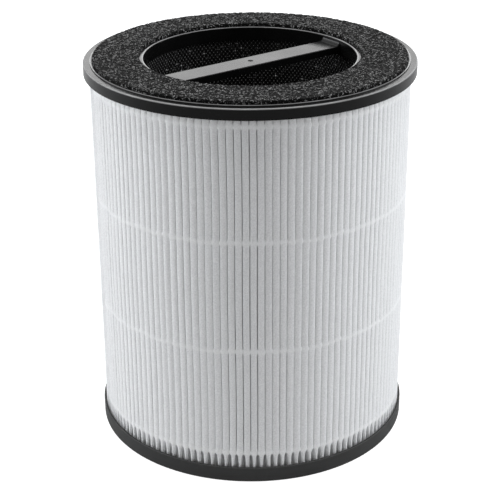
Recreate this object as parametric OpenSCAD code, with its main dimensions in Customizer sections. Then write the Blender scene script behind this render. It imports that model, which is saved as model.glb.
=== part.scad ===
// Cylindrical replacement filter for a room air purifier, standing on its plain end.
// Origin: centre of the underside. +Z runs up the axis, and the pull bar lies along X.

/* [Body] */
// Height from the base to the shoulder of the top frame
body_h = 245; // [180:1:300]
// Radius of the opening through the filter
bore_r = 66; // [40:0.5:90]

/* [Pleated media] */
// Number of pleats round the filter
pleat_count = 140; // [90:1:150]
// Depth of a pleat, from its tip to its root
pleat_depth = 20; // [12:0.5:30]
// Thickness of the folded sheet
media_t = 0.5; // [0.3:0.05:0.6]
// Open width of the valley between two tips
valley_w = 1.3; // [0.8:0.1:2]
// How far the sides of a tip are rounded down
tip_drop = 0.8; // [0.3:0.1:1.5]

/* [Glue beads] */
// Height of the lowest row of beads above the base
bead_low = 19.5; // [14:0.5:30]
// Distance of the highest row below the shoulder
bead_drop = 12; // [9:0.5:25]
// Height of a bead
bead_h = 2.5; // [1.5:0.1:3.5]
// How far a bead reaches into its valley
bead_depth = 5; // [2:0.5:9]
// How far a bead stays back from the tips
bead_inset = 0.2; // [0.1:0.1:1]

/* [Top frame] */
// Height of the skirt round the top of the pleats
skirt_h = 7; // [5:0.5:12]
// Thickness of the skirt
skirt_wall = 2; // [1.2:0.1:3]
// Gap between the skirt and the tips of the pleats
skirt_gap = 1.5; // [0.4:0.1:3]
// Width of the flat shoulder
shoulder_w = 4.2; // [3:0.1:7]
// Rounding of the outer top edge
shoulder_edge_r = 0.8; // [0.3:0.1:1.5]
// Width of the thin rim outside the foam
outer_rim_w = 1.2; // [0.8:0.1:2]
// Width of the rim inside the foam
inner_rim_w = 2.4; // [2:0.1:4]
// Rise of both rims above the shoulder
rim_h = 0.6; // [0.2:0.1:1.5]
// Rounding of the mouth of the opening
mouth_r = 0.5; // [0.2:0.1:0.8]
// Depth of the foam's seat below the shoulder
seat_drop = 1.4; // [0.8:0.1:2.5]
// Thickness of the plate under the foam
plate_t = 1.6; // [1.2:0.1:2.5]
// Thickness of the collar that lines the opening
collar_t = 1.6; // [1.2:0.1:2.2]
// Depth of the collar below the rims
collar_h = 9; // [8:0.5:16]

/* [Pull bar] */
// Width of the bar across the opening
bar_w = 17; // [12:0.5:24]
// Depth of the bar's top face below the shoulder
bar_drop = 3.2; // [2:0.1:3.6]
// Height of the bar's side walls
bar_h = 4.5; // [3.5:0.1:4.8]
// Thickness of the bar's top wall
bar_top_t = 1.8; // [1.2:0.1:2.5]
// Thickness of the bar's side walls
bar_wall = 1.6; // [1:0.1:2.5]
// Rounding along the bar's top edges
bar_edge_r = 0.5; // [0.2:0.1:1]
// Radius of the sweep from the bar up to the collar
bar_sweep_r = 3; // [1.5:0.1:3.5]

/* [Foam ring] */
// Thickness of the foam
foam_t = 4.2; // [3:0.1:8]
// Clearance of the foam between the rims
foam_gap = 0.2; // [0.1:0.05:0.4]
// Rounding of the foam's top edges
foam_edge_r = 0.6; // [0.3:0.1:1.2]

/* [Core] */
// Thickness of the net that lines the carbon
net_t = 1.2; // [0.8:0.1:2]
// Number of diamond gaps round the net
net_columns = 20; // [12:1:20]
// Number of staggered rows of gaps
net_rows = 6; // [3:1:6]
// Width of a strand of the net
strand_w = 2.2; // [1.5:0.1:3]
// Plain band at each end of the net
net_margin = 4; // [2:0.5:10]
// Thickness of the bed of carbon granules
bed_t = 9.4; // [4:0.1:16]
// Thickness of the sleeve round the carbon
sleeve_t = 0.8; // [0.4:0.1:1.5]
// Clearance between one layer and the next
layer_gap = 0.15; // [0.05:0.05:0.3]

/* [Base frame] */
// Thickness of the base plate
base_t = 2; // [1.5:0.1:3]
// Height of the outer lip
lip_h = 10; // [7:0.5:13]
// Thickness of the outer lip
lip_wall = 1.3; // [1:0.1:2.5]
// Gap between the lip and the tips of the pleats
lip_gap = 0.3; // [0.2:0.1:1.5]
// Height of the collar round the lower opening
base_collar_h = 9; // [6:0.5:14]
// Rounding of the lower outer edge
base_edge_r = 0.8; // [0.3:0.1:1.2]
// Depth of the adhesive bed in both frames
potting_t = 3; // [2:0.5:4]

/* [Hidden] */
BEAD_NODES = ["bottom_glue_bead", "lower_glue_bead", "upper_glue_bead", "top_glue_bead"];
$fn = 180;

// Heights
seat_z = body_h - seat_drop;
plate_z = seat_z - plate_t;
rim_z = body_h + rim_h;
core_z0 = base_t + potting_t;
core_z1 = plate_z - potting_t;
core_h = core_z1 - core_z0;
bar_z = body_h - bar_drop;

// Radii, from the opening outwards
collar_r = bore_r + collar_t;
net_r = collar_r + layer_gap;
bed_r = net_r + net_t + layer_gap;
sleeve_r = bed_r + bed_t + layer_gap;
root_r = sleeve_r + sleeve_t + layer_gap;
pleat_r = root_r + pleat_depth;
seat_r0 = bore_r + inner_rim_w;
skirt_r = pleat_r + skirt_gap + skirt_wall;
rim_r = skirt_r - shoulder_w;
seat_r1 = rim_r - outer_rim_w;
lip_r = pleat_r + lip_gap;

// Pleats and beads
pleat_step = 360 / pleat_count;
tip_half = (2 * PI * pleat_r / pleat_count - valley_w) / 2;
side_r = pleat_r - tip_drop;
fold_r = root_r + media_t;
bead_pitch = (body_h - bead_drop - bead_low) / (len(BEAD_NODES) - 1);

// Points of an arc about a centre, from one angle to another
function arc(centre, r, from, to, steps = 6) = [
    for (k = [0:steps])
        let (a = from + (to - from) * k / steps)
        centre + r * [cos(a), sin(a)]
];

// Point at radius r and w to the side of a ray at angle a
function beside(a, r, w) = [r * cos(a) - w * sin(a), r * sin(a) + w * cos(a)];

// Point at a depth below the side of a tip, on the wall that joins it to the root of the valley
function on_wall(tip, root, depth) = tip + (root - tip) * depth / (side_r - fold_r);

// Plain tube between two radii
module ring(r0, r1, h) {
    rotate_extrude()
        translate([r0, 0])
            square([r1 - r0, h]);
}

// Outer face of the sheet: rounded tips, with a sharp valley between one and the next
module outer_folds() {
    polygon([
        for (i = [0:pleat_count - 1])
            let (a = i * pleat_step)
            each [
                beside(a, side_r, -tip_half),
                beside(a, pleat_r, -tip_half / 2),
                beside(a, pleat_r, tip_half / 2),
                beside(a, side_r, tip_half),
                beside(a + pleat_step / 2, fold_r, 0)
            ]
    ]);
}

// Inner face of the sheet, a sheet's thickness inside the outer one along the walls
module inner_folds() {
    polygon([
        for (i = [0:pleat_count - 1])
            let (a = i * pleat_step, b = a + pleat_step / 2)
            each [
                beside(a, side_r, media_t - tip_half),
                beside(a, side_r, tip_half - media_t),
                beside(b, root_r, -media_t),
                beside(b, root_r, media_t)
            ]
    ]);
}

// One sheet folded all the way round, so its two faces are the same folds a sheet apart
module pleated_media() {
    color("whitesmoke")
        translate([0, 0, core_z0])
            linear_extrude(core_h)
                difference() {
                    outer_folds();
                    inner_folds();
                }
}

// A row of hot-melt beads that hold the pleats apart, one plug in each valley
module glue_bead(row) {
    color("white")
        translate([0, 0, bead_low + row * bead_pitch - bead_h / 2])
            linear_extrude(bead_h)
                for (i = [0:pleat_count - 1])
                    bead_outline(i * pleat_step);
}

// Outline of one plug, between the walls of two neighbouring pleats
module bead_outline(a) {
    tip_a = beside(a, side_r, tip_half);
    tip_b = beside(a + pleat_step, side_r, -tip_half);
    root = beside(a + pleat_step / 2, fold_r, 0);
    polygon([
        on_wall(tip_a, root, bead_inset),
        on_wall(tip_a, root, bead_inset + bead_depth),
        on_wall(tip_b, root, bead_inset + bead_depth),
        on_wall(tip_b, root, bead_inset)
    ]);
}

// Section of the top frame: skirt, shoulder, two rims with the foam's seat between, collar
module top_section() {
    polygon(concat(
        [
            [skirt_r - skirt_wall, plate_z],
            [skirt_r - skirt_wall, body_h - skirt_h],
            [skirt_r, body_h - skirt_h]
        ],
        arc([skirt_r - shoulder_edge_r, body_h - shoulder_edge_r], shoulder_edge_r, 0, 90),
        [
            [rim_r, body_h],
            [rim_r, rim_z],
            [seat_r1, rim_z],
            [seat_r1, seat_z],
            [seat_r0, seat_z],
            [seat_r0, rim_z]
        ],
        arc([bore_r + mouth_r, rim_z - mouth_r], mouth_r, 90, 180),
        [
            [bore_r, rim_z - collar_h],
            [collar_r, rim_z - collar_h],
            [collar_r, plate_z]
        ]
    ));
}

// Section of the bar: a channel open below, with its top edges rounded
module bar_section() {
    half = bar_w / 2;
    polygon(concat(
        [
            [half - bar_wall, bar_z - bar_top_t],
            [half - bar_wall, bar_z - bar_h],
            [half, bar_z - bar_h]
        ],
        arc([half - bar_edge_r, bar_z - bar_edge_r], bar_edge_r, 0, 90),
        arc([bar_edge_r - half, bar_z - bar_edge_r], bar_edge_r, 90, 180),
        [
            [-half, bar_z - bar_h],
            [bar_wall - half, bar_z - bar_h],
            [bar_wall - half, bar_z - bar_top_t]
        ]
    ));
}

// Side view of the sweep at the bar's end, from its top face up to the collar
module sweep_section() {
    wall_x = sqrt(pow(bore_r, 2) - pow(bar_w / 2, 2));
    polygon(concat(
        [
            [collar_r, bar_z - bar_top_t],
            [collar_r, bar_z + bar_sweep_r]
        ],
        arc([wall_x - bar_sweep_r, bar_z + bar_sweep_r], bar_sweep_r, 0, -90),
        [[wall_x - bar_sweep_r, bar_z - bar_top_t]]
    ));
}

// The bar and its end sweeps, cut to run halfway into the collar's wall
module pull_bar() {
    intersection() {
        translate([0, 0, bar_z - bar_h])
            cylinder(r = bore_r + collar_t / 2, h = bar_h + bar_sweep_r);
        union() {
            rotate([90, 0, 90])
                linear_extrude(2 * collar_r, center = true)
                    bar_section();
            for (side = [0, 180])
                rotate([0, 0, side])
                    rotate([90, 0, 0])
                        linear_extrude(bar_w - 2 * bar_edge_r, center = true)
                            sweep_section();
        }
    }
}

module top_frame() {
    color("dimgray")
        union() {
            rotate_extrude()
                top_section();
            pull_bar();
        }
}

module sealing_foam() {
    r0 = seat_r0 + foam_gap;
    r1 = seat_r1 - foam_gap;
    top = seat_z + foam_t;
    color("black")
        rotate_extrude()
            polygon(concat(
                [[r0, seat_z], [r1, seat_z]],
                arc([r1 - foam_edge_r, top - foam_edge_r], foam_edge_r, 0, 90),
                arc([r0 + foam_edge_r, top - foam_edge_r], foam_edge_r, 90, 180)
            ));
}

// Staggered rows of diamond gaps leave crossing strands; a plain band closes each end
module inner_net() {
    cell_w = 2 * PI * net_r / net_columns;
    cell_h = 2 * (core_h - 2 * net_margin) / (net_rows + 1);
    shrink = 1 - strand_w * norm([cell_w, cell_h]) / (cell_w * cell_h);
    gap_w = cell_w * shrink;
    gap_h = cell_h * shrink;
    color("black")
        translate([0, 0, core_z0])
            difference() {
                ring(net_r, net_r + net_t, core_h);
                for (j = [0:net_rows - 1], i = [0:net_columns - 1])
                    rotate([0, 0, (i + (j % 2) / 2) * 360 / net_columns])
                        translate([net_r - net_t, 0, net_margin + (j + 1) * cell_h / 2])
                            rotate([90, 0, 90])
                                linear_extrude(3 * net_t)
                                    polygon([[gap_w / 2, 0], [0, gap_h / 2], [-gap_w / 2, 0], [0, -gap_h / 2]]);
            }
}

// Bed of carbon granules, packed between the net and the sleeve
module carbon_bed() {
    color("darkslategray")
        translate([0, 0, core_z0])
            ring(bed_r, bed_r + bed_t, core_h);
}

module carbon_sleeve() {
    color("gray")
        translate([0, 0, core_z0])
            ring(sleeve_r, sleeve_r + sleeve_t, core_h);
}

// Adhesive that bonds the ends of the core and the pleats into a frame
module adhesive(r1) {
    color("ivory")
        ring(collar_r, r1, potting_t);
}

module top_adhesive() {
    translate([0, 0, core_z1])
        adhesive(skirt_r - skirt_wall);
}

module bottom_adhesive() {
    translate([0, 0, base_t])
        adhesive(lip_r);
}

// Open ring with a channel: lip outside, collar inside
module base_frame() {
    outer_r = lip_r + lip_wall;
    color("dimgray")
        rotate_extrude()
            polygon(concat(
                [[bore_r, base_collar_h], [bore_r, 0]],
                arc([outer_r - base_edge_r, base_edge_r], base_edge_r, -90, 0),
                [
                    [outer_r, lip_h],
                    [lip_r, lip_h],
                    [lip_r, base_t],
                    [collar_r, base_t],
                    [collar_r, base_collar_h]
                ]
            ));
}

top_frame();
sealing_foam();
pleated_media();
for (row = [0:len(BEAD_NODES) - 1])
    glue_bead(row);
inner_net();
carbon_bed();
carbon_sleeve();
top_adhesive();
bottom_adhesive();
base_frame();
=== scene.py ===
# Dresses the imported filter: folded media, foam ring, lining net, granules and moulded frames.
import math
import bpy
import numpy as np
from mathutils import Matrix, Vector


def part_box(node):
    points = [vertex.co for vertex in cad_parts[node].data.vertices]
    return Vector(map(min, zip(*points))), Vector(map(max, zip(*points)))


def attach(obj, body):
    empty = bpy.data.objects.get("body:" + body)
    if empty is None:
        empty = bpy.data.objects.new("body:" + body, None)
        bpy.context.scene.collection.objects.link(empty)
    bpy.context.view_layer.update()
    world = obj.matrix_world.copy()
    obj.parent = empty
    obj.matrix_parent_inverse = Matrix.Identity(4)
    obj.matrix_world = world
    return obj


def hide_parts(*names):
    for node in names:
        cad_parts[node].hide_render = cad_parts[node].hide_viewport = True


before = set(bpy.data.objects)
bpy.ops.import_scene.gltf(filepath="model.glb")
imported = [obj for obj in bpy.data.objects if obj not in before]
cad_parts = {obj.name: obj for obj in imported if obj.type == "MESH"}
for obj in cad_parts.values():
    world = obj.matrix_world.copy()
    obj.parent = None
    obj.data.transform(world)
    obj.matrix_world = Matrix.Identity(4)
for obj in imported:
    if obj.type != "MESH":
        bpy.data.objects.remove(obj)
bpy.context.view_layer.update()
mm = 0.001
print("filter: frame loaded")

# The photograph looks at the filter from this side, and the lights stand round that view
view = {
    "turn": 36.7,        # degrees from the pull bar to the picture's right, seen from above
    "distance": 0.82,    # metres from the axis, along the floor
    "height": 0.4836,
    "pitch": 24.3,
    "roll": 0.361,
    "aside": -0.00083,
    "lens": 98.4,
}


def inView(place):
    # A place given as right, away and up in the picture, turned about the axis into the row frame
    a = -math.radians(view["turn"])
    x, y, z = place
    return Vector((x * math.cos(a) - y * math.sin(a), x * math.sin(a) + y * math.cos(a), z))


def addCamera():
    # Its back vector is level and away from the filter, tipped up by pitch. Right and up are turned
    # about it by roll, and all three by the view's turn.
    pitch, roll = math.radians(view["pitch"]), math.radians(view["roll"])
    right = Vector((1, 0, 0))
    up = Vector((0, math.sin(pitch), math.cos(pitch)))
    back = Vector((0, -math.cos(pitch), math.sin(pitch)))
    pictureRight = inView(math.cos(roll) * right - math.sin(roll) * up)
    pictureUp = inView(math.sin(roll) * right + math.cos(roll) * up)
    data = bpy.data.cameras.new("camera")
    data.lens = view["lens"]
    data.sensor_width = 36
    data.clip_end = 20
    cam = bpy.data.objects.new("camera", data)
    bpy.context.scene.collection.objects.link(cam)
    turn = Matrix((pictureRight, pictureUp, inView(back))).transposed()
    cam.matrix_world = turn.to_4x4()
    cam.location = inView((view["aside"], -view["distance"], view["height"]))
    bpy.context.scene.camera = cam


addCamera()


# Mesh helpers

def addMesh(name, points, faces, material, smooth=True):
    # points is n by 3 in metres, faces is n by 4 or n by 3 indices into it. They are turned outwards
    # if the volume, a sum of corner * (next corner x the one after), comes out negative.
    corners = points[faces]
    volume = np.einsum("ij,ij->i", corners[:, 0], np.cross(corners[:, 1], corners[:, 2])).sum()
    if faces.shape[1] == 4:
        volume += np.einsum("ij,ij->i", corners[:, 0], np.cross(corners[:, 2], corners[:, 3])).sum()
    if volume < 0:
        faces = faces[:, ::-1]
    sides = faces.shape[1]
    mesh = bpy.data.meshes.new(name)
    mesh.vertices.add(len(points))
    mesh.vertices.foreach_set("co", np.ascontiguousarray(points, dtype=np.float32).ravel())
    mesh.loops.add(faces.size)
    mesh.loops.foreach_set("vertex_index", np.ascontiguousarray(faces, dtype=np.int32).ravel())
    mesh.polygons.add(len(faces))
    mesh.polygons.foreach_set("loop_start", np.arange(0, faces.size, sides, dtype=np.int32))
    mesh.polygons.foreach_set("use_smooth", np.full(len(faces), smooth))
    mesh.update(calc_edges=True)
    mesh.validate()
    mesh.materials.append(material)
    piece = bpy.data.objects.new(name, mesh)
    bpy.context.scene.collection.objects.link(piece)
    return piece


def addLayer(piece, name, values):
    # One number for each point, which the material reads by this name
    layer = piece.data.attributes.new(name, "FLOAT", "POINT")
    layer.data.foreach_set("value", np.ascontiguousarray(values, dtype=np.float32).ravel())


def wrapFaces(rows, cols):
    # Quads of a grid that closes on itself in both directions
    r, c = np.meshgrid(np.arange(rows), np.arange(cols), indexing="ij")
    nextR = (r + 1) % rows
    nextC = (c + 1) % cols
    quads = [r * cols + c, r * cols + nextC, nextR * cols + nextC, nextR * cols + c]
    return np.stack(quads, -1).reshape(-1, 4)


def beside(angle, radius, aside, height):
    # Point at a radius along a ray from the axis, then aside at right angles to that ray
    x = radius * np.cos(angle) - aside * np.sin(angle)
    y = radius * np.sin(angle) + aside * np.cos(angle)
    return np.stack(np.broadcast_arrays(x, y, height), -1)


def speckle(rng, rows, cols, cellRows, cellCols):
    # Random heights on a grid that repeats: white noise whose waves are damped by
    # exp(-4 * (cells * waves per cell)^2), then replaced by its rank, which spreads it evenly from 0 to 1
    field = np.fft.rfft2(rng.standard_normal((rows, cols)))
    fr = np.fft.fftfreq(rows)[:, None] * cellRows
    fc = np.fft.rfftfreq(cols)[None, :] * cellCols
    field = np.fft.irfft2(field * np.exp(-4 * (fr ** 2 + fc ** 2)), s=(rows, cols))
    order = np.argsort(np.argsort(field.ravel()))
    return (order / (order.size - 1)).reshape(rows, cols)


# Node helpers

def newMaterial(name):
    # A material that starts with one Principled shader, and its nodes and links
    mat = bpy.data.materials.new(name)
    mat.use_nodes = True
    return mat, mat.node_tree.nodes, mat.node_tree.links


def newGroup(name, inputs, outputs):
    # A node group with named float sockets, and its first two nodes, which carry them
    group = bpy.data.node_groups.new(name, "ShaderNodeTree")
    for label, value in inputs.items():
        socket = group.interface.new_socket(name=label, in_out="INPUT", socket_type="NodeSocketFloat")
        socket.default_value = value
    for label in outputs:
        group.interface.new_socket(name=label, in_out="OUTPUT", socket_type="NodeSocketFloat")
    start = group.nodes.new("NodeGroupInput")
    end = group.nodes.new("NodeGroupOutput")
    return group, group.nodes, group.links, start, end


def mathNode(nodes, links, operation, a, b=None, clamp=False):
    # a and b are numbers, or outputs of other nodes
    node = nodes.new("ShaderNodeMath")
    node.operation = operation
    node.use_clamp = clamp
    for i, value in enumerate((a, b)):
        if value is None:
            continue
        if isinstance(value, (int, float)):
            node.inputs[i].default_value = value
        else:
            links.new(value, node.inputs[i])
    return node.outputs[0]


def makeGrainGroup():
    # Fine moulded or felted grain, a mask from 0 to 1: (1 - Coarse) * noise at Scale
    # + Coarse * noise of about six times the size
    group, nodes, links, start, end = newGroup("fineGrain", {"Scale": 900.0, "Coarse": 0.3}, ["Mask"])
    coord = nodes.new("ShaderNodeTexCoord")
    noises = []
    for share in (1.0, 0.17):
        noise = nodes.new("ShaderNodeTexNoise")
        noise.inputs["Detail"].default_value = 3
        links.new(coord.outputs["Object"], noise.inputs["Vector"])
        links.new(mathNode(nodes, links, "MULTIPLY", start.outputs["Scale"], share), noise.inputs["Scale"])
        noises.append(noise.outputs["Fac"])
    mix = nodes.new("ShaderNodeMix")
    links.new(start.outputs["Coarse"], mix.inputs[0])
    links.new(noises[0], mix.inputs[2])
    links.new(noises[1], mix.inputs[3])
    links.new(mix.outputs[0], end.inputs["Mask"])
    return group


fineGrain = makeGrainGroup()


def makeEdgeGroup():
    # A mask that is 1 on the circle at Radius and Height and fades smoothly to 0 a Reach away from it:
    # distance = the length of (radius - Radius, z - Height)
    inputs = {"Radius": 0.1, "Height": 0.1, "Reach": 0.001}
    group, nodes, links, start, end = newGroup("paleEdgeRing", inputs, ["Mask"])
    coord = nodes.new("ShaderNodeTexCoord")
    parts = nodes.new("ShaderNodeSeparateXYZ")
    links.new(coord.outputs["Object"], parts.inputs[0])
    flat = nodes.new("ShaderNodeCombineXYZ")
    links.new(parts.outputs[0], flat.inputs[0])
    links.new(parts.outputs[1], flat.inputs[1])
    length = nodes.new("ShaderNodeVectorMath")
    length.operation = "LENGTH"
    links.new(flat.outputs[0], length.inputs[0])
    away = mathNode(nodes, links, "SUBTRACT", length.outputs["Value"], start.outputs["Radius"])
    above = mathNode(nodes, links, "SUBTRACT", parts.outputs[2], start.outputs["Height"])
    apart = nodes.new("ShaderNodeCombineXYZ")
    links.new(away, apart.inputs[0])
    links.new(above, apart.inputs[1])
    distance = nodes.new("ShaderNodeVectorMath")
    distance.operation = "LENGTH"
    links.new(apart.outputs[0], distance.inputs[0])
    fade = nodes.new("ShaderNodeMapRange")
    fade.interpolation_type = "SMOOTHSTEP"
    fade.inputs["To Min"].default_value = 1
    fade.inputs["To Max"].default_value = 0
    links.new(distance.outputs["Value"], fade.inputs["Value"])
    links.new(start.outputs["Reach"], fade.inputs["From Max"])
    links.new(fade.outputs[0], end.inputs["Mask"])
    return group


paleEdgeRing = makeEdgeGroup()


def grain(nodes, scale, coarse):
    # The mask of a fineGrain group with these settings
    node = nodes.new("ShaderNodeGroup")
    node.node_tree = fineGrain
    node.inputs["Scale"].default_value = scale
    node.inputs["Coarse"].default_value = coarse
    return node.outputs["Mask"]


def ramp(nodes, links, mask, stops):
    # Maps the mask from 0 to 1 onto colours: stops is a list of place and grey or colour
    node = nodes.new("ShaderNodeValToRGB")
    links.new(mask, node.inputs[0])
    while len(node.color_ramp.elements) < len(stops):
        node.color_ramp.elements.new(0.5)
    for element, (place, colour) in zip(node.color_ramp.elements, stops):
        element.position = place
        rgb = (colour,) * 3 if isinstance(colour, (int, float)) else colour
        element.color = (*rgb, 1)
    return node.outputs[0]


def bump(nodes, links, shader, mask, depth, strength):
    # Raises the shader's surface by depth in metres where the mask is 1
    node = nodes.new("ShaderNodeBump")
    node.inputs["Strength"].default_value = strength
    node.inputs["Distance"].default_value = depth
    links.new(mask, node.inputs["Height"])
    links.new(node.outputs[0], shader.inputs["Normal"])
    return node


# Moulded plastic of both frames

plastic = {
    "frameBlack": {
        "dark": 0.0025,
        "light": 0.0045,
        "rough": (0.19, 0.26),
        "gloss": 0.18,
        "grain": 1500,
        "depth": 0.00002,
        "blotch": 60,        # scale of the broad unevenness
        # pale grey of the painted highlights along the edges
        "paleEdgeTone": 0.34,
        # radius, height and reach of the edges painted pale: on this frame, painted highlights along the
        # shoulder, rim and collar edges
        "edges": [
            (103.0 * mm, 244.9 * mm, 1.0 * mm),
            (98.6 * mm, 245.7 * mm, 0.7 * mm),
            (66.6 * mm, 245.5 * mm, 0.7 * mm),
        ],
    },
    "baseGrey": {
        "dark": 0.030,
        "light": 0.040,
        "rough": (0.48, 0.58),
        "gloss": 0.22,
        "grain": 1100,
        "depth": 0.00004,
        "blotch": 60,
        # lighter grey along the base's rim edges
        "paleEdgeTone": 0.07,
        "edges": [(101.1 * mm, 0.2 * mm, 0.9 * mm), (101.0 * mm, 9.9 * mm, 0.5 * mm)],
    },
}
gateMark = {
    "place": (0.0006, 0.0004, 0.2418),   # where the mould was filled, in the middle of the pull bar
    "radius": 1.9 * mm,
    "edge": 0.6 * mm,
    "depth": 0.25 * mm,
    "rough": 0.75,
}


def makePlastic(name):
    # Colour and roughness follow a broad noise from the first value to the second. The colour then
    # turns to the pale edge tone by edge mask * 2 * noise, the edge mask being the largest of the edge
    # masks: painted highlights along the top frame's edges, and lighter rim edges on the base.
    p = plastic[name]
    mat, nodes, links = newMaterial(name)
    shader = nodes["Principled BSDF"]
    fine = grain(nodes, p["grain"], 0.35)
    broad = grain(nodes, p["blotch"], 0.5)
    skin = ramp(nodes, links, broad, [(0.3, p["dark"]), (0.7, p["light"])])
    paleEdgeMask = None
    for radius, height, reach in p["edges"]:
        edge = nodes.new("ShaderNodeGroup")
        edge.node_tree = paleEdgeRing
        edge.inputs["Radius"].default_value = radius
        edge.inputs["Height"].default_value = height
        edge.inputs["Reach"].default_value = reach
        mask = edge.outputs["Mask"]
        paleEdgeMask = mask if paleEdgeMask is None else mathNode(nodes, links, "MAXIMUM", paleEdgeMask, mask)
    doubled = mathNode(nodes, links, "MULTIPLY", broad, 2.0)
    patchyPaleEdge = mathNode(nodes, links, "MULTIPLY", paleEdgeMask, doubled, clamp=True)
    # The colour turns pale at the edges: painted highlights on the top frame
    paleEdgeMix = nodes.new("ShaderNodeMix")
    paleEdgeMix.data_type = "RGBA"
    links.new(patchyPaleEdge, paleEdgeMix.inputs["Factor"])
    links.new(skin, paleEdgeMix.inputs["A"])
    paleEdgeMix.inputs["B"].default_value = (p["paleEdgeTone"], p["paleEdgeTone"], p["paleEdgeTone"], 1)
    links.new(paleEdgeMix.outputs["Result"], shader.inputs["Base Color"])
    rough = ramp(nodes, links, broad, [(0.35, p["rough"][0]), (0.65, p["rough"][1])])
    links.new(rough, shader.inputs["Roughness"])
    shader.inputs["Specular IOR Level"].default_value = p["gloss"]
    texture = bump(nodes, links, shader, fine, p["depth"], 0.5)
    return mat, nodes, links, shader, texture


def addGateMark(nodes, links, shader, texture):
    # A shallow round dent where the plastic entered the mould, duller than the skin round it:
    # the surface rises by depth, and the roughness returns, from radius - edge out to radius
    g = gateMark
    coord = nodes.new("ShaderNodeTexCoord")
    apart = nodes.new("ShaderNodeVectorMath")
    apart.operation = "DISTANCE"
    links.new(coord.outputs["Object"], apart.inputs[0])
    apart.inputs[1].default_value = g["place"]
    rise = nodes.new("ShaderNodeMapRange")
    rise.interpolation_type = "SMOOTHSTEP"
    rise.inputs["From Min"].default_value = g["radius"] - g["edge"]
    rise.inputs["From Max"].default_value = g["radius"]
    links.new(apart.outputs["Value"], rise.inputs["Value"])
    dent = nodes.new("ShaderNodeBump")
    dent.inputs["Distance"].default_value = g["depth"]
    links.new(rise.outputs[0], dent.inputs["Height"])
    links.new(dent.outputs[0], texture.inputs["Normal"])
    dull = nodes.new("ShaderNodeMix")
    links.new(rise.outputs[0], dull.inputs[0])
    dull.inputs[2].default_value = g["rough"]
    links.new(shader.inputs["Roughness"].links[0].from_socket, dull.inputs[3])
    links.new(dull.outputs[0], shader.inputs["Roughness"])


frameBlack, *frameNodes = makePlastic("frameBlack")
addGateMark(*frameNodes)
baseGrey = makePlastic("baseGrey")[0]


# Folded media

media = {
    "pleats": 140,
    "tipRadius": 99.6 * mm,
    "rootRadius": 80.1 * mm,
    "innerRadius": 79.6 * mm,
    "gap": 0.10 * mm,        # between neighbouring tips
    "looseAt": 233.3,        # degrees, where the folds stand a little further apart
    "looseReach": 13,
    "looseGap": 0.36 * mm,
    "tipDrop": 0.60 * mm,    # how far a tip's sides lie behind its crest
    "square": 1.85,          # 2 is an ellipse, more is a flatter crest
    "beads": [19.5 * mm, 90.67 * mm, 161.83 * mm, 233.0 * mm],
    "beadReach": 1.25 * mm,
    "beadRagged": 0.35 * mm,  # how far a bead drifts up or down from pleat to pleat
    "bulge": 0.34 * mm,      # where the glue holds neighbouring tips together
    "heldStill": 0.7,        # share of the unevenness and the crest that the glue takes away
    "lipHeight": 10 * mm,
    "pinchBelow": 0.8 * mm,  # under the lowest bead, where the folds start to close
    "pinched": 0.62 * mm,    # half width of a tip where it enters the base frame
    "pinchCurve": 0.42,
    "castRadius": 95.5 * mm,  # the adhesive creeps up between the pleats to here
    "castCurve": 0.5,
    "uneven": 0.045 * mm,    # spread of the half widths
    "sway": 0.22 * mm,
    "swayWaves": (21, 47),   # of the two waves that a fold makes on its way up, in radians a metre
    "crestFall": 0.06 * mm,  # how far a tip lies behind its neighbours
    "crestRipple": 0.04 * mm,
    "tilt": 0.10 * mm,
    "rowsBelow": 14,
    "rowsAtBead": 7,
    "rowsAbove": 17,
    "innerTipDepth": 1.3 * mm,  # the hidden inner line lies this far behind the tips
    "innerTipHalf": 1.1 * mm,
    "innerRootHalf": 0.5 * mm,
    "fuzz": 1300,
    "white": [(0.38, (0.775, 0.78, 0.79)), (0.62, (0.895, 0.90, 0.908))],
    "glued": (0.94, 0.945, 0.95, 1),
    "glueShare": 0.4,
    "fuzzDepth": 0.18 * mm,
    "seed": 7,
}


def makeMediaMaterial():
    # Felt between two whites by its fuzz, mixed with the glued white by glueShare * the layer "glued"
    m = media
    mat, nodes, links = newMaterial("mediaWhite")
    shader = nodes["Principled BSDF"]
    fuzz = grain(nodes, m["fuzz"], 0.12)
    colour = ramp(nodes, links, fuzz, m["white"])
    glued = nodes.new("ShaderNodeAttribute")
    glued.attribute_name = "glued"
    spread = nodes.new("ShaderNodeMix")      # the glue bleeds through and leaves a paler band
    spread.data_type = "RGBA"
    share = mathNode(nodes, links, "MULTIPLY", glued.outputs["Fac"], m["glueShare"])
    links.new(share, spread.inputs["Factor"])
    links.new(colour, spread.inputs["A"])
    spread.inputs["B"].default_value = m["glued"]
    links.new(spread.outputs["Result"], shader.inputs["Base Color"])
    shader.inputs["Roughness"].default_value = 0.95
    shader.inputs["Specular IOR Level"].default_value = 0.15
    shader.inputs["Sheen Weight"].default_value = 0.1
    bump(nodes, links, shader, fuzz, m["fuzzDepth"], 0.45)
    return mat


def drift(rng, count, reach):
    # A random number for each pleat, alike for neighbours within the given reach, with a spread of 1:
    # white noise whose waves are damped by exp(-(2 * reach * waves per pleat)^2)
    values = np.fft.rfft(rng.standard_normal(count))
    values = np.fft.irfft(values * np.exp(-(np.arange(len(values)) / count * reach * 2) ** 2), count)
    return values / values.std()


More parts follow.
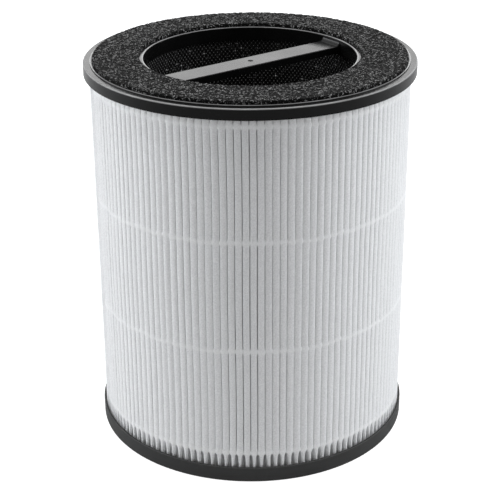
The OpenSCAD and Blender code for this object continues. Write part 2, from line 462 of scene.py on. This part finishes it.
def makePleats(material):
    # Point (u, z) of a pleat: aside = lean(z) + half(z) * s, radius = side + drop * c + tilt * s,
    # with s and c on the squared ellipse |s|^k + |c|^k = 1. Straight walls run from there to the roots.
    # lean drifts from pleat to pleat. half grows by bulge * held at the beads, held being the sum of
    # exp(-((z - bead) / beadReach)^2), and below the lowest one it shrinks to pinched by t^pinchCurve,
    # t being the share of the way down to the lip. The roots move out to castRadius by t^castCurve.
    m = media
    rng = np.random.default_rng(m["seed"])
    low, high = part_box("pleated_media")
    lowest = m["beads"][0]
    z = np.unique(np.concatenate([
        np.linspace(low[2], lowest + 2 * mm, m["rowsBelow"]),
        *[np.linspace(b - 2.4 * mm, b + 2.4 * mm, m["rowsAtBead"]) for b in m["beads"][1:]],
        np.linspace(lowest + 8 * mm, high[2], m["rowsAbove"]),
    ]))[:, None]
    n = m["pleats"]
    step = 2 * np.pi / n
    angle = np.arange(n) * step
    loose = np.exp(-((np.degrees(angle) - m["looseAt"]) / m["looseReach"]) ** 2) * m["looseGap"]
    fullHalf = (2 * np.pi * m["tipRadius"] / n - m["gap"] - loose) / 2
    ragged = m["beadRagged"] * drift(rng, n, 1)
    held = sum(np.exp(-((z - b - ragged) / m["beadReach"]) ** 2) for b in m["beads"])
    pinchTop = lowest - m["pinchBelow"]
    t = np.clip((pinchTop - z) / (pinchTop - m["lipHeight"]), 0, 1)
    half = fullHalf + held * m["bulge"] + (m["pinched"] - fullHalf) * t ** m["pinchCurve"]
    free = 1 - m["heldStill"] * held
    half = half + rng.normal(0, m["uneven"], n) * free + loose / 2 * held
    slow, quick = m["swayWaves"]
    wave = drift(rng, n, 8) * np.sin(z * slow + 1) + drift(rng, n, 8) * np.sin(z * quick + 2)
    lean = m["sway"] * (0.6 * drift(rng, n, 5) + 0.4 * wave)
    fall = m["crestFall"] * np.abs(drift(rng, n, 2))
    radius = m["tipRadius"] - fall + m["crestRipple"] * np.sin(z * 90 + angle * 5)
    drop = m["tipDrop"] * free
    side = radius - drop
    tilt = m["tilt"] * drift(rng, n, 1.5)
    rootRadius = m["rootRadius"] + (m["castRadius"] - m["rootRadius"]) * t ** m["castCurve"]
    root = beside(angle + step / 2, rootRadius, 0, z)
    rootBefore = np.roll(root, 1, axis=1)
    left = beside(angle, side - tilt, lean - half, z)
    right = beside(angle, side + tilt, lean + half, z)
    columns = [rootBefore * 0.5 + left * 0.5, rootBefore * 0.12 + left * 0.88]
    for bend in np.radians([-90, -66, -42, -15, 15, 42, 66, 90]):
        s = np.sign(bend) * abs(math.sin(bend)) ** (2 / m["square"])
        c = max(math.cos(bend), 0) ** (2 / m["square"])
        columns.append(beside(angle, side + drop * c + tilt * s, lean + half * s, z))
    columns += [root * 0.12 + right * 0.88, root * 0.5 + right * 0.5, root]
    outer = np.stack(columns, 2).reshape(len(z), -1, 3)
    # The clean-air side is hidden, so two rows at the ends carry it: a plain folded line behind the
    # outer one, each point a share of the way from a root to a place across the tip
    ends = np.array([[high[2]], [low[2]]])
    rootIn = beside(angle + step / 2, m["innerRadius"], -m["innerRootHalf"], ends)
    rootBack = np.roll(beside(angle + step / 2, m["innerRadius"], m["innerRootHalf"], ends), 1, axis=1)
    tipRadius = m["tipRadius"] - m["innerTipDepth"]
    innerPlaces = [
        (rootBack, -1, 0.5), (rootBack, -1, 0.88), (rootBack, -1, 1), (rootBack, -1, 1), (rootBack, -1, 1),
        (rootBack, -0.4, 1), (rootIn, 0.4, 1),
        (rootIn, 1, 1), (rootIn, 1, 1), (rootIn, 1, 1), (rootIn, 1, 0.88), (rootIn, 1, 0.5), (rootIn, 1, 0),
    ]
    innerColumns = []
    for innerRoot, across, share in innerPlaces:
        tip = beside(angle, tipRadius, m["innerTipHalf"] * across, ends)
        innerColumns.append(tip * share + innerRoot * (1 - share))
    inner = np.stack(innerColumns, 2).reshape(2, -1, 3)
    points = np.concatenate([outer, inner])
    faces = wrapFaces(len(points), points.shape[1])
    sheet = addMesh("pleatedSheet", points.reshape(-1, 3), faces, material)
    # Where the glue holds the tips, for the material
    glued = np.concatenate([np.repeat(held, len(columns), axis=1), np.zeros(inner.shape[:2])])
    addLayer(sheet, "glued", glued)
    return sheet


mediaWhite = makeMediaMaterial()
pleats = makePleats(mediaWhite)
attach(pleats, "root")
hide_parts("pleated_media")
print("filter: media folded,", len(pleats.data.polygons), "faces")


# Foam ring

foam = {
    "around": 1300,
    "across": 60,
    "wallRows": 5,
    "innerRadius": 68.6 * mm,
    "middleRadius": 83 * mm,
    "edge": 0.8 * mm,
    "pit": 0.42 * mm,
    "grainSize": 0.9 * mm,
    "fineShare": 0.62,       # how much of the speckle is finer than the pressed pores
    "fineGrain": 1250,
    "fineDepth": 0.5 * mm,
    "tones": [(0.34, 0.0006), (0.54, 0.002), (0.72, 0.013), (0.92, 0.25)],
    "seed": 11,
}


def makeFoamMaterial():
    # Painted light and shade: the raised cell walls are painted light and the pores between them are
    # painted nearly black:
    # tone = (1 - fineShare) * the layer "wall" + fineShare * a fine grain stretched from 0 to 1
    f = foam
    mat, nodes, links = newMaterial("foamBlack")
    shader = nodes["Principled BSDF"]
    wall = nodes.new("ShaderNodeAttribute")
    wall.attribute_name = "wall"
    fine = grain(nodes, f["fineGrain"], 0.0)
    cells = nodes.new("ShaderNodeMapRange")
    cells.inputs["From Min"].default_value = 0.40
    cells.inputs["From Max"].default_value = 0.60
    links.new(fine, cells.inputs["Value"])
    share = nodes.new("ShaderNodeMix")
    share.inputs[0].default_value = f["fineShare"]
    links.new(wall.outputs["Fac"], share.inputs[2])
    links.new(cells.outputs[0], share.inputs[3])
    links.new(ramp(nodes, links, share.outputs[0], f["tones"]), shader.inputs["Base Color"])
    shader.inputs["Roughness"].default_value = 0.7
    shader.inputs["Specular IOR Level"].default_value = 0.06
    bump(nodes, links, shader, fine, f["fineDepth"], 0.8)
    return mat


def makeFoam(material):
    # A ring whose section is a rounded box, with pores pressed in along the section's own normals:
    # point = section - normal * pit * (1 - the lesser of 1 and 1.4 * height), height being a blurred
    # noise evened out to 0..1
    f = foam
    rng = np.random.default_rng(f["seed"])
    low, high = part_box("sealing_foam")
    outerR, innerR = high[0], f["innerRadius"]
    z0, z1 = low[2], high[2]
    e = f["edge"]
    n = f["across"]
    k = f["wallRows"]
    bend = np.linspace(0, np.pi / 2, 4)
    top = np.linspace(outerR - e, innerR + e, n)[1:-1]
    wallRows = np.linspace(z0, z1 - e, k + 1)[:-1]
    rows = np.concatenate([
        np.stack([np.full(k, outerR), wallRows], 1),
        np.stack([outerR - e + e * np.cos(bend), z1 - e + e * np.sin(bend)], 1),
        np.stack([top, np.full(n - 2, z1)], 1),
        np.stack([innerR + e - e * np.sin(bend), z1 - e + e * np.cos(bend)], 1),
        np.stack([np.full(k, innerR), wallRows[::-1]], 1),
    ])
    along = np.roll(rows, -1, 0) - np.roll(rows, 1, 0)
    normal = np.stack([along[:, 1], -along[:, 0]], 1)
    normal /= np.linalg.norm(normal, axis=1)[:, None]
    normal[[0, -1]] = 0
    around = f["around"]
    cellAlong = f["grainSize"] / ((outerR - innerR) / n)
    cellRound = f["grainSize"] / (2 * np.pi * f["middleRadius"] / around)
    height = speckle(rng, len(rows), around, cellAlong, cellRound)
    press = f["pit"] * (1 - np.clip(height * 1.4, 0, 1))
    r = rows[:, 0][:, None] - normal[:, 0][:, None] * press
    z = rows[:, 1][:, None] - normal[:, 1][:, None] * press
    a = np.arange(around) * 2 * np.pi / around
    points = beside(a, r, 0, z)
    ring = addMesh("foamRing", points.reshape(-1, 3), wrapFaces(len(rows), around), material)
    addLayer(ring, "wall", height)
    return ring


foamBlack = makeFoamMaterial()
foamRing = makeFoam(foamBlack)
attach(foamRing, "root")
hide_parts("sealing_foam")
print("filter: foam ring", len(foamRing.data.polygons), "faces")


# Lining net

net = {
    "strands": 158,
    "steps": 48,
    "slope": 51.5,          # degrees that a strand climbs at
    "insideR": 68.42 * mm,
    "outsideR": 68.70 * mm,
    "thick": 0.42 * mm,
    "wide": 0.84 * mm,
    "dark": 0.004,
    "knotHighlight": 0.36,           # pale colour on the crossings, a painted highlight
}


def makeNetMaterial():
    # A crossing is where cos(n * (angle - climb)) and cos(n * (angle + climb)) are both near 1,
    # with the same angle and climb as the strands have. The powers make it an oval along one strand, which
    # is painted pale as a highlight.
    m = net
    mat, nodes, links = newMaterial("netBlack")
    shader = nodes["Principled BSDF"]
    coord = nodes.new("ShaderNodeTexCoord")
    parts = nodes.new("ShaderNodeSeparateXYZ")
    links.new(coord.outputs["Object"], parts.inputs[0])
    angle = mathNode(nodes, links, "ARCTAN2", parts.outputs[1], parts.outputs[0])
    around = mathNode(nodes, links, "MULTIPLY", angle, float(m["strands"]))
    above = mathNode(nodes, links, "SUBTRACT", parts.outputs[2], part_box("inner_net")[0][2])
    turns = m["strands"] / (m["insideR"] * math.tan(math.radians(m["slope"])))
    climb = mathNode(nodes, links, "MULTIPLY", above, turns)
    masks = []
    for operation, power in (("SUBTRACT", 1.2), ("ADD", 5.0)):
        wave = mathNode(nodes, links, "COSINE", mathNode(nodes, links, operation, around, climb))
        masks.append(mathNode(nodes, links, "POWER", mathNode(nodes, links, "MAXIMUM", wave, 0.0), power))
    knotHighlight = mathNode(nodes, links, "MULTIPLY", masks[0], masks[1])
    colour = ramp(nodes, links, knotHighlight, [(0.2, m["dark"]), (0.65, m["knotHighlight"])])
    links.new(colour, shader.inputs["Base Color"])
    links.new(ramp(nodes, links, knotHighlight, [(0.2, 0.5), (0.8, 0.28)]), shader.inputs["Roughness"])
    shader.inputs["Specular IOR Level"].default_value = 0.3
    bump(nodes, links, shader, grain(nodes, 1800, 0.35), 0.00002, 0.5)
    return mat


def makeNet(material):
    # Two families of flat strands wind up the wall, one each way:
    # angle(z) = start + way * (z - z0) / (radius * tan slope), with a rectangle carried along
    m = net
    low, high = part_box("inner_net")
    z = np.linspace(low[2], high[2], m["steps"])
    slope = math.radians(m["slope"])
    climb = (z - z[0]) / (m["insideR"] * math.tan(slope))
    start = np.arange(m["strands"]) * 2 * np.pi / m["strands"]
    s, k, c = np.meshgrid(np.arange(m["strands"]), np.arange(m["steps"] - 1), np.arange(4), indexing="ij")
    base, ahead = (s * m["steps"] + k) * 4, (c + 1) % 4
    walls = np.stack([base + c, base + ahead, base + 4 + ahead, base + 4 + c], -1).reshape(-1, 4)
    first = (np.arange(m["strands"]) * m["steps"] * 4)[:, None]
    last = first + (m["steps"] - 1) * 4
    strip = np.concatenate([walls, first + [3, 2, 1, 0], last + [0, 1, 2, 3]])
    corners = [(-1, -1), (1, -1), (1, 1), (-1, 1)]
    points, faces = [], []
    for way, radius in ((1, m["insideR"]), (-1, m["outsideR"])):
        angle = start[:, None] + way * climb[None, :]
        aside = m["wide"] / 2 / math.sin(slope)
        ring = [beside(angle, radius + m["thick"] / 2 * u, aside * v, z[None, :]) for u, v in corners]
        faces.append(strip + len(points) * s.shape[0] * m["steps"] * 4)
        points.append(np.stack(ring, 2).reshape(-1, 3))
    return addMesh("liningNet", np.concatenate(points), np.concatenate(faces), material, smooth=False)


netBlack = makeNetMaterial()
liningNet = makeNet(netBlack)
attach(liningNet, "root")
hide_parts("inner_net")
print("filter: net", len(liningNet.data.polygons), "faces")


# Carbon granules behind the net

granules = {
    "spacing": 3.35 * mm,
    "shake": 0.45,           # of the spacing, either way
    "size": (1.35 * mm, 2.0 * mm),
    "squash": (0.75, 1.0),
    "wobble": (0.85, 1.0),
    "radius": 70.75 * mm,
    "backing": 71.0 * mm,    # the rest of the bed behind the granules that show
    # share of the lumps made white, painted glints
    "pale": 0.10,
    "backingSides": 120,
    "caught": 0.03,          # share of the net's holes with a white crumb in them, a painted glint
    "crumb": (1.3 * mm, 0.72 * mm, 0.85 * mm),   # half its depth, width and height
    "crumbRadius": 69.1 * mm,
    "crumbRows": (2, 134),   # rows of holes, counted up from the net's lower end
    # the last stop is the white of the painted glints
    "tones": [(0.0, 0.02), (0.9, 0.08), (1.0, 0.95)],
    "seed": 23,
}


def makeGranuleMaterial():
    # Each lump has one tone, from dark grey to the few white ones that are painted glints, by the layer
    # "tone"
    mat, nodes, links = newMaterial("carbonGranules")
    shader = nodes["Principled BSDF"]
    tone = nodes.new("ShaderNodeAttribute")
    tone.attribute_name = "tone"
    links.new(ramp(nodes, links, tone.outputs["Fac"], granules["tones"]), shader.inputs["Base Color"])
    shader.inputs["Roughness"].default_value = 0.22
    shader.inputs["Specular IOR Level"].default_value = 0.9
    bump(nodes, links, shader, grain(nodes, 2500, 0.4), 0.0001, 0.5)
    return mat


def makeGranules(material):
    # Twenty-sided lumps on a shaken lattice round the bed: centre = (radius, angle, z) + shake,
    # corner = centre + size * squash * wobble * corner of an icosahedron, turned about z
    g = granules
    rng = np.random.default_rng(g["seed"])
    low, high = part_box("carbon_bed")
    golden = (1 + 5 ** 0.5) / 2
    shape = np.array([
        [-1, golden, 0], [1, golden, 0], [-1, -golden, 0], [1, -golden, 0],
        [0, -1, golden], [0, 1, golden], [0, -1, -golden], [0, 1, -golden],
        [golden, 0, -1], [golden, 0, 1], [-golden, 0, -1], [-golden, 0, 1],
    ]) / math.hypot(1, golden)
    sides = np.array([
        [0, 11, 5], [0, 5, 1], [0, 1, 7], [0, 7, 10], [0, 10, 11],
        [1, 5, 9], [5, 11, 4], [11, 10, 2], [10, 7, 6], [7, 1, 8],
        [3, 9, 4], [3, 4, 2], [3, 2, 6], [3, 6, 8], [3, 8, 9],
        [4, 9, 5], [2, 4, 11], [6, 2, 10], [8, 6, 7], [9, 8, 1],
    ])
    around = int(2 * np.pi * g["radius"] / g["spacing"])
    margin = g["size"][1]
    bottom, top = low[2] + margin, high[2] - margin
    up = int((top - bottom) / g["spacing"])
    a, z = np.meshgrid(np.arange(around) / around * 2 * np.pi, np.linspace(bottom, top, up))
    shake = g["shake"]
    a = (a + rng.uniform(-shake, shake, a.shape) * g["spacing"] / g["radius"]).ravel()
    z = np.clip((z + rng.uniform(-shake, shake, z.shape) * g["spacing"]).ravel(), bottom, top)
    centre = beside(a, g["radius"] + rng.uniform(0, 0.6, a.size) * mm, 0, z)
    size = rng.uniform(*g["size"], (a.size, 1, 1))
    squash = rng.uniform(*g["squash"], (a.size, 1, 3))
    wobble = rng.uniform(*g["wobble"], (a.size, len(shape), 1))
    turn = rng.uniform(0, 6.28, a.size)
    c, s = np.cos(turn)[:, None], np.sin(turn)[:, None]
    local = shape[None] * squash * wobble * size
    spunX = local[..., 0] * c - local[..., 1] * s
    spunY = local[..., 0] * s + local[..., 1] * c
    spun = np.stack([spunX, spunY, local[..., 2]], -1)
    # Crumbs sit in the net's holes, half a pitch from the crossings, and reach back to the lumps. They are
    # white, painted glints:
    # strands * angle = (1 + k + 2j) * pi and height = k * pi * radius * tan(slope) / strands
    k, j = np.meshgrid(np.arange(*g["crumbRows"]), np.arange(net["strands"]), indexing="ij")
    taken = rng.random(k.shape) < g["caught"]
    k, j = k[taken], j[taken]
    hole = (1 + k + 2 * j) * np.pi / net["strands"]
    rise = net["insideR"] * math.tan(math.radians(net["slope"]))
    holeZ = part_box("inner_net")[0][2] + k * np.pi * rise / net["strands"]
    crumb = shape[None] * np.array(g["crumb"]) * rng.uniform(0.8, 1.0, (hole.size, len(shape), 1))
    crumbRadius = g["crumbRadius"] + crumb[..., 0]
    crumbs = beside(hole[:, None], crumbRadius, crumb[..., 1], holeZ[:, None] + crumb[..., 2])
    lumps = np.concatenate([(centre[:, None] + spun).reshape(-1, 3), crumbs.reshape(-1, 3)])
    firstCorners = np.arange(a.size + hole.size)[:, None, None] * len(shape)
    lumpFaces = (firstCorners + sides[None]).reshape(-1, 3)
    # The backing is a plain tube, its four rows closed on themselves, cut into triangles
    ring = np.arange(g["backingSides"]) * 2 * np.pi / g["backingSides"]
    radii = np.array([high[0], high[0], g["backing"], g["backing"]])[:, None]
    heights = np.array([low[2], high[2], high[2], low[2]])[:, None]
    tube = beside(ring, radii, 0, heights).reshape(-1, 3)
    quads = wrapFaces(4, g["backingSides"])[:, ::-1] + len(lumps)
    faces = np.concatenate([lumpFaces, quads[:, [0, 1, 2]], quads[:, [0, 2, 3]]])
    piece = addMesh("granuleBed", np.concatenate([lumps, tube]), faces, material, smooth=False)
    # The pale share of the lumps and all the crumbs are white: painted glints
    tone = np.where(rng.random(a.size) < g["pale"], 1.0, rng.uniform(0, 0.88, a.size))
    tone = np.concatenate([tone, np.ones(hole.size)])
    addLayer(piece, "tone", np.concatenate([np.repeat(tone, len(shape)), np.zeros(len(tube))]))
    return piece


carbonGranules = makeGranuleMaterial()
granuleBed = makeGranules(carbonGranules)
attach(granuleBed, "root")
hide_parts("carbon_bed")
print("filter: granules", len(granuleBed.data.polygons), "faces")


# Finishes of the solids that stay as they are

def makePlain(name, dark, light, scale, depth, rough):
    # One grain of this scale and depth carries both the colour, from dark to light, and the bump
    mat, nodes, links = newMaterial(name)
    shader = nodes["Principled BSDF"]
    mask = grain(nodes, scale, 0.4)
    links.new(ramp(nodes, links, mask, [(0.3, dark), (0.7, light)]), shader.inputs["Base Color"])
    shader.inputs["Roughness"].default_value = rough
    bump(nodes, links, shader, mask, depth, 0.5)
    return mat


glueWhite = makePlain("glueWhite", (0.80, 0.80, 0.80), (0.88, 0.88, 0.88), 500, 0.0001, 0.45)
sleeveGrey = makePlain("sleeveGrey", 0.42, 0.55, 900, 0.0002, 0.9)
adhesiveCream = makePlain("adhesiveCream", (0.60, 0.57, 0.48), (0.70, 0.68, 0.60), 300, 0.0003, 0.4)

finishes = {
    "top_frame": frameBlack,
    "base_frame": baseGrey,
    "bottom_glue_bead": glueWhite,
    "lower_glue_bead": glueWhite,
    "upper_glue_bead": glueWhite,
    "top_glue_bead": glueWhite,
    "carbon_sleeve": sleeveGrey,
    "top_adhesive": adhesiveCream,
    "bottom_adhesive": adhesiveCream,
}
for node, material in finishes.items():
    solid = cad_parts[node]
    for k in range(len(solid.material_slots)):
        solid.material_slots[k].material = material
print("filter: finishes set")


# Studio

cool = (0.95, 0.975, 1)
white = (1, 1, 1)
studio = {
    "ambient": 0.235,
    "floor": 0.68,
    "lift": 0.76,            # what the camera sees on the floor beyond the light that falls on it
    "floorRings": [0.0001, 0.2, 0.5, 1.2, 3.0, 6.0],
    "floorSides": 64,
    "aim": (0, 0, 0.15),
    "lamps": [
        {"name": "leftBox", "place": (-1.5, 0.2, 0.50), "size": (1.2, 1.2), "power": 18.2, "colour": cool},
        {"name": "rightBox", "place": (1.5, 0.2, 0.72), "size": (1.2, 1.2), "power": 18.2, "colour": cool},
        {"name": "backPanel", "place": (0, 2.6, 1.25), "size": (1.4, 0.7), "power": 6.0, "colour": white},
        {"name": "topStrip", "place": (0, -0.15, 1.6), "size": (1.0, 0.35), "power": 14, "colour": white},
    ],
}


def addLamps():
    # Each lamp stands at its place in the picture's directions and faces the aim
    for lamp in studio["lamps"]:
        data = bpy.data.lights.new(lamp["name"], "AREA")
        data.shape = "RECTANGLE"
        data.size, data.size_y = lamp["size"]
        data.energy = lamp["power"]
        data.color = lamp["colour"]
        place = inView(lamp["place"])
        lampObject = bpy.data.objects.new(lamp["name"], data)
        bpy.context.scene.collection.objects.link(lampObject)
        lampObject.location = place
        lampObject.rotation_euler = (Vector(studio["aim"]) - place).to_track_quat("-Z", "Y").to_euler()


def makeWorld():
    # White to the camera, in reflections and through glass, and only ambient as light on the object:
    # strength = the largest of those three rays and ambient
    world = bpy.data.worlds.new("studioWorld")
    world.use_nodes = True
    nodes, links = world.node_tree.nodes, world.node_tree.links
    path = nodes.new("ShaderNodeLightPath")
    seen = mathNode(nodes, links, "MAXIMUM", path.outputs["Is Camera Ray"], path.outputs["Is Glossy Ray"])
    seen = mathNode(nodes, links, "MAXIMUM", seen, path.outputs["Is Transmission Ray"])
    strength = mathNode(nodes, links, "MAXIMUM", seen, studio["ambient"])
    background = nodes["Background"]
    background.inputs["Color"].default_value = (1, 1, 1, 1)
    links.new(strength, background.inputs["Strength"])
    bpy.context.scene.world = world


def addFloor():
    # A wide pale disc; the camera sees it lifted to white, and it keeps the filter's shadow
    rings = np.array(studio["floorRings"])
    n = studio["floorSides"]
    a = np.arange(n) * 2 * np.pi / n
    points = beside(a, rings[:, None], 0, -0.2 * mm).reshape(-1, 3)
    r, c = np.meshgrid(np.arange(len(rings) - 1), np.arange(n), indexing="ij")
    nextC = (c + 1) % n
    quads = [r * n + c, (r + 1) * n + c, (r + 1) * n + nextC, r * n + nextC]
    faces = np.stack(quads, -1).reshape(-1, 4)
    mat, nodes, links = newMaterial("floorWhite")
    shader = nodes["Principled BSDF"]
    shader.inputs["Base Color"].default_value = (studio["floor"],) * 3 + (1,)
    shader.inputs["Roughness"].default_value = 1.0
    shader.inputs["Specular IOR Level"].default_value = 0.0
    path = nodes.new("ShaderNodeLightPath")
    shader.inputs["Emission Color"].default_value = (1, 1, 1, 1)
    lift = mathNode(nodes, links, "MULTIPLY", path.outputs["Is Camera Ray"], studio["lift"])
    links.new(lift, shader.inputs["Emission Strength"])
    mesh = bpy.data.meshes.new("floor")
    mesh.from_pydata(points.tolist(), [], faces.tolist())
    mesh.materials.append(mat)
    floor = bpy.data.objects.new("floor", mesh)
    bpy.context.scene.collection.objects.link(floor)


addLamps()
makeWorld()
addFloor()
bpy.context.scene.view_settings.view_transform = "Standard"
print("filter: studio lit")
